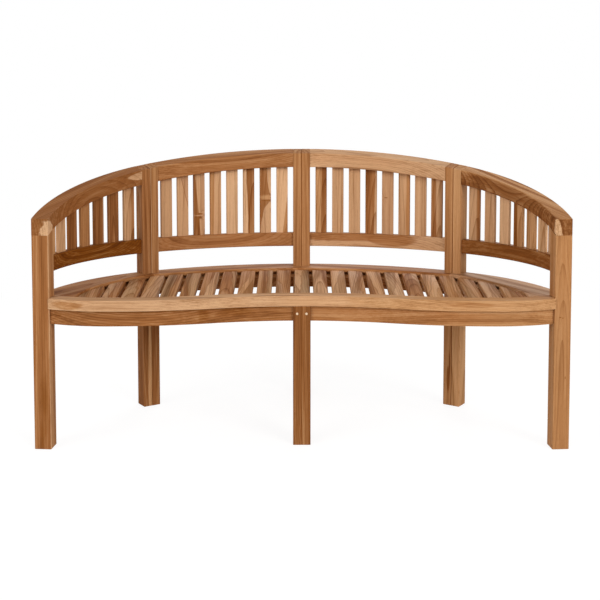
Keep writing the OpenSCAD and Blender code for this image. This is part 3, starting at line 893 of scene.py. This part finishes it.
@dataclass
class LowerRails:
    """The lower rails, the aprons and the bearer, each sawn from a straight board."""

    easing: float = 0.002
    boards: ClassVar[dict[str, Board]] = {
        "arm_lower_rail_left": Board(Teak.UMBER, seed=25, pith=(0.03, -0.06)),
        "arm_lower_rail_right": Board(Teak.BROWN, seed=26, pith=(-0.09, -0.03)),
        "back_lower_rail_left": Board(Teak.AMBER, seed=27, pith=(0.03, -0.06), ring=0.006, contrast=0.7),
        "back_lower_rail_right": Board(
            Teak.CREAM, seed=28, pith=(-0.06, -0.05), ring=0.006, contrast=0.8,
            patches=(
                Patch(
                    Teak.AMBER, (-0.12, 0.02, 0.0), (0.24, 0.022, 0.2), soft=0.16, waver=0.12, line=0.3,
                ),
                Patch(Teak.AMBER, (0.05, 0.006, 0.0), (0.08, 0.021, 0.2), soft=0.2, waver=0.15, line=0.3),
            ),
        ),
        "front_apron_left": Board(
            Teak.RUSSET, seed=29, pith=(-0.08, -0.03), ring=0.006, contrast=1.2, wander=0.03,
            taper=0.012,
            patches=(
                Patch(Teak.BROWN, (0.09, 0.004, 0.0), (0.016, 0.03, 0.3), soft=0.7, waver=0.9),
                Patch(Teak.BROWN, (0.19, 0.01, 0.0), (0.05, 0.012, 0.3), soft=0.8, waver=0.9),
                Patch(Teak.BROWN, (-0.335, 0.004, 0.0), (0.009, 0.0026, 0.3), soft=0.5, waver=0.4),
            ),
        ),
        "front_apron_right": Board(
            Teak.AMBER, seed=30, pith=(0.14, -0.02), ring=0.006, contrast=0.7, wander=0.02, taper=0.006,
            patches=(Patch(Teak.GOLDEN, (0.32, 0.0, 0.0), (0.22, 0.3, 0.3), soft=0.6, waver=0.3),),
        ),
        "side_apron_left": Board(Teak.CHESTNUT, seed=31),
        "side_apron_right": Board(Teak.CHESTNUT, seed=32),
        "rear_apron_left": Board(Teak.CHESTNUT, seed=33),
        "rear_apron_right": Board(Teak.CHESTNUT, seed=34),
        "seat_centre_bearer": Board(Teak.CHESTNUT, seed=35),
    }

    def length_of(self, name: str) -> Vector:
        """Finds which way the board runs that a piece is sawn from.

        Args:
            name: Name of the piece.

        Returns:
            The level direction.
        """
        if name.startswith("front"):
            return X
        if name == "seat_centre_bearer":
            return Y
        return run_of(name, name.startswith(("arm", "side")))

    def build(self) -> None:
        """Dresses the rails."""
        for name, board in self.boards.items():
            finish_node(name, board, Lie(middle_of(name), self.length_of(name), Z), self.easing)


@dataclass
class SeatRims:
    """The curved rims round the seat."""

    easing: float = 0.003
    boards: ClassVar[dict[str, Board]] = {
        "seat_front_rim": Board(
            Teak.CREAM, seed=41, pith=(0.0, -0.16), contrast=0.9, wander=0.02, taper=0.005,
            patches=(
                Patch(Teak.HONEY, (0.5, 0.0, 0.0), (0.34, 0.4, 0.3), soft=0.3, waver=0.3),
                Patch(Teak.GOLDEN, (-0.69, 0.0, 0.0), (0.05, 0.2, 0.012)),
                Patch(Teak.GOLDEN, (0.5, 0.0, 0.004), (0.07, 0.2, 0.008)),
            ),
        ),
        "seat_side_rim_left": Board(Teak.RUSSET, seed=42, pith=(0.03, -0.08)),
        "seat_side_rim_right": Board(Teak.TAN, seed=43, pith=(-0.04, -0.07)),
        "seat_back_rim_left": Board(Teak.AMBER, seed=44, pith=(0.05, -0.08)),
        "seat_back_rim_right": Board(Teak.AMBER, seed=45, pith=(-0.05, -0.08)),
    }

    def build(self) -> None:
        """Dresses the rims."""
        for name, board in self.boards.items():
            along = X if name == "seat_front_rim" else run_of(name, "side_rim" in name)
            finish_node(name, board, Lie(middle_of(name), along, Z.cross(along)), self.easing)


@dataclass
class SeatSlats:
    """The fanned slats of the seat."""

    easing: float = 0.003
    fan: float = 7.5
    right_from: float = 0.05
    seed: int = 50
    ring: float = 0.005
    contrast: float = 1.2
    pith_step: float = 0.02
    pith_depth: float = -0.04
    pith_drop: float = -0.01
    zone_step: float = 0.006
    zone_slant: float = 0.04
    zone: Zone = Zone(Teak.GOLDEN, soft=0.004, waver=0.012, line=0.5)
    # The grey and dull tan slats carry painted sheen as well as their own duller colour.
    left_tones: tuple[Teak, ...] = (
        Teak.DULL_TAN_PAINTED_SHEEN, Teak.AMBER, Teak.DULL_TAN_PAINTED_SHEEN, Teak.TAN, Teak.GREY, Teak.DULL_TAN_PAINTED_SHEEN, Teak.AMBER
    )
    # The right half's tones are paler, partly other timber and partly painted light, the brighter light
    # on the seat's right half.
    right_tones_painted_lighter: tuple[Teak, ...] = (
        Teak.TAN, Teak.HONEY, Teak.DULL_TAN_PAINTED_SHEEN, Teak.CREAM, Teak.HONEY, Teak.CREAM, Teak.DULL_TAN_PAINTED_SHEEN
    )
    others: tuple[Teak, ...] = (Teak.GOLDEN, Teak.CREAM, Teak.AMBER, Teak.HONEY, Teak.GOLDEN)

    def shuffled(self, i: int, stride: int) -> int:
        """A whole number from -2 to 2 that jumps about from one slat to the next."""
        return i * stride % 5 - 2

    def timber(self, i: int, on_right: bool) -> Board:
        """Picks the timber of one slat; the right half's paler tones are partly painted light.

        Args:
            i: How many slats lie to its left.
            on_right: Whether it lies in the right half.

        Returns:
            The slat's timber.
        """
        tones = self.right_tones_painted_lighter if on_right else self.left_tones
        zone = replace(
            self.zone,
            tone=self.others[i % len(self.others)],
            across=self.zone_step * self.shuffled(i, 7),
            slant=self.zone_slant * self.shuffled(i, 3),
            right=i % 2 == 0,
        )
        pith = (self.pith_step * self.shuffled(i, 1), self.pith_depth + self.pith_drop * (i % 3))
        return Board(tones[i % len(tones)], self.seed + i, pith, self.ring, self.contrast, zones=(zone,))

    def build(self) -> None:
        """Dresses the slats."""
        names = [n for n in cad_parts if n.startswith("seat_slat")]
        for i, name in enumerate(sorted(names, key=lambda n: middle_of(n).x)):
            place = middle_of(name)
            along = Vector((place.x / self.fan, 1, 0)).normalized()
            board = self.timber(i, place.x > self.right_from)
            finish_node(name, board, Lie(place, along, X), self.easing)


@dataclass
class BackSlats:
    """The upright slats of the back and the arms, each a board of its own."""

    easing: float = 0.0012
    slot: str = "back_slat_teak"
    seed: int = 80
    boards: ClassVar[dict[str, tuple[Board, ...]]] = {
        "arm_slats_left": (
            Board(Teak.HONEY),
            Board(Teak.CREAM, contrast=0.7),
            Board(Teak.CHESTNUT),
            Board(Teak.GOLDEN, pith=(0.06, -0.03)),
            Board(Teak.CHESTNUT, zones=(Zone(Teak.TAN, across=0.014),)),
            Board(Teak.RUSSET, pith=(0.0, -0.03), contrast=1.3),
            Board(Teak.CREAM, zones=(Zone(Teak.GOLDEN, across=0.008, soft=0.003, waver=0.006),)),
        ),
        "back_slats_left": (
            Board(Teak.CREAM, pith=(0.06, -0.03), contrast=0.6),
            Board(
                Teak.CREAM, contrast=0.8,
                zones=(Zone(Teak.TAN, across=0.0168, slant=-0.27, line=0.9),),
            ),
            Board(
                Teak.CREAM, contrast=0.9,
                zones=(
                    Zone(Teak.TAN, across=0.006, slant=-0.02, soft=0.003),
                    Zone(
                        Teak.CHESTNUT, across=-0.0066, slant=-0.09, right=False, soft=0.0014,
                        waver=0.002, line=0.5,
                    ),
                ),
                patches=(
                    Patch(Teak.BROWN, (-0.042, 0.002, 0.0), (0.0035, 0.009, 0.2), soft=0.6, waver=0.4),
                    Patch(Teak.BROWN, (-0.053, -0.002, 0.0), (0.006, 0.012, 0.2), soft=0.6, waver=0.4),
                    Patch(Teak.BROWN, (-0.074, -0.007, 0.0), (0.028, 0.0055, 0.2), soft=0.4, waver=0.4),
                    Patch(Teak.TAN, (-0.0472, 0.002, 0.0), (0.0024, 0.019, 0.2), soft=0.5, waver=0.3),
                ),
                knots=(Knot(along=-0.0466, across=0.019, radius=0.004),),
            ),
            Board(
                Teak.CREAM, contrast=0.9,
                zones=(Zone(Teak.GOLDEN, across=-0.006, slant=0.01, right=False),),
            ),
            Board(Teak.SAPWOOD, pith=(-0.05, -0.03), contrast=0.9),
            Board(
                Teak.CHESTNUT, contrast=1.2,
                zones=(Zone(Teak.SAPWOOD, across=-0.0056, slant=-0.03, right=False, soft=0.001),),
            ),
            Board(
                Teak.RUSSET, contrast=0.9,
                patches=(
                    Patch(
                        Teak.CREAM, (-0.13, 0.018, 0.0), (0.116, 0.036, 0.2), soft=0.05, waver=0.08,
                        line=0.6,
                    ),
                    Patch(
                        Teak.CREAM, (0.1, 0.0195, 0.0), (0.092, 0.0145, 0.2), soft=0.08, waver=0.15,
                        line=0.8,
                    ),
                    Patch(Teak.HONEY, (-0.001, 0.008, 0.0), (0.008, 0.026, 0.2), soft=0.6, waver=0.4),
                    Patch(Teak.BROWN, (-0.0114, 0.006, 0.0), (0.0026, 0.017, 0.2), soft=0.6, waver=0.4),
                ),
                knots=(Knot(along=-0.002, across=0.02, radius=0.004),),
            ),
            Board(
                Teak.SAPWOOD, contrast=0.7,
                zones=(Zone(Teak.GOLDEN, across=0.0192, slant=0.13, waver=0.002, line=0.3),),
            ),
        ),
        "back_slats_right": (
            Board(
                Teak.HONEY,
                zones=(Zone(Teak.CHESTNUT, across=0.002, slant=0.01, waver=0.006, line=0.4),),
            ),
            Board(Teak.CREAM, pith=(0.05, -0.03)),
            Board(Teak.CREAM, pith=(-0.05, -0.03), contrast=0.8),
            Board(
                Teak.RUSSET,
                zones=(Zone(Teak.CREAM, across=0.0135, slant=0.02, soft=0.002, waver=0.002),),
            ),
            Board(
                Teak.TAN, pith=(0.05, -0.04), contrast=0.5,
                knots=(Knot(along=0.008, across=-0.005, radius=0.005),),
            ),
            Board(Teak.CREAM, zones=(Zone(Teak.GOLDEN, across=0.009),), contrast=0.9),
            Board(Teak.CREAM, pith=(0.05, -0.03), contrast=0.8),
            Board(
                Teak.CREAM,
                zones=(
                    Zone(Teak.RUSSET, across=-0.002, slant=-0.02, right=False, waver=0.006, line=0.3),
                ),
            ),
        ),
        "arm_slats_right": (
            Board(Teak.CREAM, zones=(Zone(Teak.AMBER, across=0.01),)),
            Board(Teak.CREAM, contrast=0.7),
            Board(Teak.SAPWOOD, contrast=0.7),
            Board(
                Teak.HONEY,
                zones=(Zone(Teak.BROWN, across=-0.003, slant=-0.02, right=False, waver=0.004, line=0.4),),
            ),
            Board(Teak.HONEY),
            Board(Teak.SAPWOOD),
            Board(Teak.TAN),
        ),
    }

    def split(self, node: str) -> list[bpy.types.Mesh]:
        """Copies each loose board of a node into a mesh of its own.

        Args:
            node: Name of the node.

        Returns:
            The meshes, from left to right.
        """
        source = bmesh.new()
        source.from_mesh(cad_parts[node].data)
        bmesh.ops.remove_doubles(source, verts=source.verts, dist=WELD)
        left = set(source.verts)
        groups = []
        while left:
            group, edge = set(), [left.pop()]
            while edge:
                vert = edge.pop()
                group.add(vert)
                near = {e.other_vert(vert) for e in vert.link_edges} & left
                left -= near
                edge.extend(near)
            groups.append(group)
        groups.sort(key=lambda g: sum(v.co.x for v in g) / len(g))
        meshes = []
        for i, group in enumerate(groups):
            mesh = bpy.data.meshes.new(f"{node}_{i + 1}")
            verts = sorted(group, key=lambda v: v.index)
            index = {v: k for k, v in enumerate(verts)}
            faces = [[index[v] for v in f.verts] for f in source.faces if f.verts[0] in group]
            mesh.from_pydata([v.co for v in verts], [], faces)
            mesh.polygons.foreach_set("use_smooth", [True] * len(mesh.polygons))
            meshes.append(mesh)
        source.free()
        return meshes

    def build(self) -> None:
        """Makes and dresses the slats."""
        seed = self.seed
        for node, boards in self.boards.items():
            for mesh, board in zip(self.split(node), boards):
                seed += 1
                corners = [v.co for v in mesh.vertices]
                middle = sum(corners, Vector()) / len(corners)
                lie = Lie(middle, Z, self.width_of(corners, middle))
                piece = stand_in(mesh.name, mesh, node)
                ease_edges(piece, self.easing)
                give_timber(piece, replace(board, seed=seed), lie)

    def width_of(self, corners: list[Vector], middle: Vector) -> Vector:
        """Finds the broad side of a slat, the direction in which its corners spread most.

        Args:
            corners: The slat's corners.
            middle: Their middle.

        Returns:
            The level direction across its face, to the right.
        """
        xx = sum((c.x - middle.x) ** 2 for c in corners)
        yy = sum((c.y - middle.y) ** 2 for c in corners)
        xy = sum((c.x - middle.x) * (c.y - middle.y) for c in corners)
        angle = 0.5 * math.atan2(2 * xy, xx - yy)
        return rightward(Vector((math.cos(angle), math.sin(angle), 0)))


@dataclass
class Pegs:
    """The pale pegs in the front centre leg."""

    easing: float = 0.0004
    heart: float = 0.0036
    reach: float = 0.5
    rim: Board = Board(Teak.AMBER, seed=90, pith=(0.0, 0.0), ring=0.001, contrast=0.3)

    def build(self) -> None:
        """Dresses the pegs, whose rims have drawn in the colour of the leg."""
        low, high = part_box("tenon_pegs")
        apart = (high.x - low.x - (high.z - low.z)) / 2
        half = (self.reach, self.heart, self.heart)
        hearts = tuple(
            Patch(Teak.DOWEL, (0.0, side * apart, 0.0), half, soft=0.2, waver=0.05)
            for side in (-1, 1)
        )
        lie = Lie(middle_of("tenon_pegs"), Y, X)
        finish_node("tenon_pegs", replace(self.rim, patches=hearts), lie, self.easing)


@dataclass(frozen=True)
class SoftBox:
    """A square lamp, its side in metres and its power in watts."""

    name: str
    place: Triple
    size: float
    power: float


@dataclass
class Studio:
    """Floor, light and camera."""

    camera_at: Triple = (-0.0055, -3.2157, 1.0417)
    pitch: float = 3.703
    lens: float = 59.764
    shift: float = -0.225
    floor_size: float = 60.0
    floor_tone: float = 0.8
    floor_glow: float = 0.87
    floor_paint: float = 0.2
    white_reach: Pair = (1.1, 2.6)
    sky: float = 0.5
    aim: Triple = (0.0, 0.0, 0.45)
    lamps: tuple[SoftBox, ...] = (
        SoftBox("key_box", place=(6.0, -7.8, 4.6), size=4.2, power=480.0),
        SoftBox("fill_box", place=(-6.9, -7.5, 4.2), size=6.0, power=410.0),
        SoftBox("back_box", place=(1.0, 6.0, 3.0), size=3.0, power=90.0),
    )

    def grey(self, level: float) -> Rgba:
        """A plain grey."""
        return level, level, level, 1.0

    def backdrop(self) -> None:
        """Lays the floor, which takes the bench's shadow and fades into the white of the room."""
        bpy.ops.mesh.primitive_plane_add(size=self.floor_size, location=(0, 0, 0))
        floor = bpy.context.active_object
        floor.name = "floor"
        material = bpy.data.materials.new("floor")
        material.use_nodes = True
        w = Wiring(material.node_tree)
        plain = w.add("ShaderNodeBsdfDiffuse", self.grey(self.floor_tone))
        faint = w.add("ShaderNodeBsdfDiffuse", self.grey(self.floor_paint))
        glow = w.add("ShaderNodeEmission", WHITE, self.floor_glow)
        near = w.add("ShaderNodeAddShader", faint.outputs[0], glow.outputs[0])
        far = w.add("ShaderNodeEmission", WHITE, 1.0)
        place = w.add("ShaderNodeTexCoord").outputs["Object"]
        away = w.step(w.measure("LENGTH", place), *self.white_reach)
        white = w.add("ShaderNodeMixShader", away, near.outputs[0], far.outputs[0])
        both = w.add("ShaderNodeMixShader", self.seen(w), plain.outputs[0], white.outputs[0])
        w.add("ShaderNodeOutputMaterial", both.outputs[0])
        floor.data.materials.append(material)

    def room(self) -> None:
        """Lights the room evenly, and shows it as white."""
        world = bpy.data.worlds.new("room")
        bpy.context.scene.world = world
        world.use_nodes = True
        w = Wiring(world.node_tree)
        light = w.add("ShaderNodeBackground", WHITE, self.sky)
        white = w.add("ShaderNodeBackground", WHITE, 1.0)
        both = w.add("ShaderNodeMixShader", self.seen(w), light.outputs[0], white.outputs[0])
        w.add("ShaderNodeOutputWorld", both.outputs[0])

    def seen(self, w: Wiring) -> Socket:
        """Tells what the camera sees, straight or mirrored, from what only lights the bench.

        Args:
            w: The wiring of the floor or of the world.

        Returns:
            1 for what the camera sees, and 0 for the rest.
        """
        path = w.add("ShaderNodeLightPath").outputs
        mirrored = w.maths("MAXIMUM", path["Is Glossy Ray"], path["Is Transmission Ray"])
        return w.maths("MAXIMUM", path["Is Camera Ray"], mirrored)

    def hang(self, box: SoftBox) -> None:
        """Hangs a lamp that points at the bench.

        Args:
            box: The lamp's name, place, size and power.
        """
        data = bpy.data.lights.new(box.name, "AREA")
        data.size = box.size
        data.energy = box.power
        lamp = bpy.data.objects.new(box.name, data)
        lamp.location = box.place
        lamp.rotation_euler = (Vector(self.aim) - Vector(box.place)).to_track_quat("-Z", "Y").to_euler()
        bpy.context.scene.collection.objects.link(lamp)

    def camera(self) -> None:
        """Stands the camera where the photograph was taken from."""
        data = bpy.data.cameras.new("camera")
        data.lens = self.lens
        data.shift_y = self.shift
        camera = bpy.data.objects.new("camera", data)
        camera.location = self.camera_at
        camera.rotation_euler = (math.radians(90 - self.pitch), 0, 0)
        bpy.context.scene.collection.objects.link(camera)
        bpy.context.scene.camera = camera

    def build(self) -> None:
        """Sets up the studio."""
        self.backdrop()
        self.room()
        for box in self.lamps:
            self.hang(box)
        self.camera()
        bpy.context.scene.view_settings.view_transform = "Standard"


def main() -> None:
    """Dresses the bench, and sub-assembly by sub-assembly."""
    logging.basicConfig(level=logging.INFO, format="%(message)s")
    kinds = (Legs, RearPosts, TopRails, LowerRails, SeatRims, SeatSlats, BackSlats, Pegs, Studio)
    for kind in kinds:
        log.info("building %s", kind.__name__)
        kind().build()


if __name__ == "__main__":
    main()
